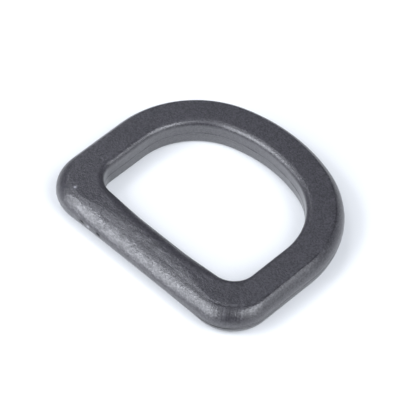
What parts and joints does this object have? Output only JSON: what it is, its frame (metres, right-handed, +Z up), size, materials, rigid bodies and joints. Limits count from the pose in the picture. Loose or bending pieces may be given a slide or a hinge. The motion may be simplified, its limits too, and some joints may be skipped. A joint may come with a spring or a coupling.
{
  "type": "moulded d ring",
  "caption": "Flat-lying moulded plastic D ring: a rounded webbing bar, two straight sides and a curved bow with flat faces.",
  "frame": {"origin": "on the lower face, under the middle of the ring's box", "axes": "+X along the bar, +Y from the bar to the bow, +Z up through the thickness"},
  "size_m": [0.0364, 0.0304, 0.0042],
  "materials": {
    "black_plastic": "fine matte moulded grain, slight satin sheen"
  },
  "bodies": {
    "root": {"d_ring": "black_plastic"}
  },
  "joints": []
}
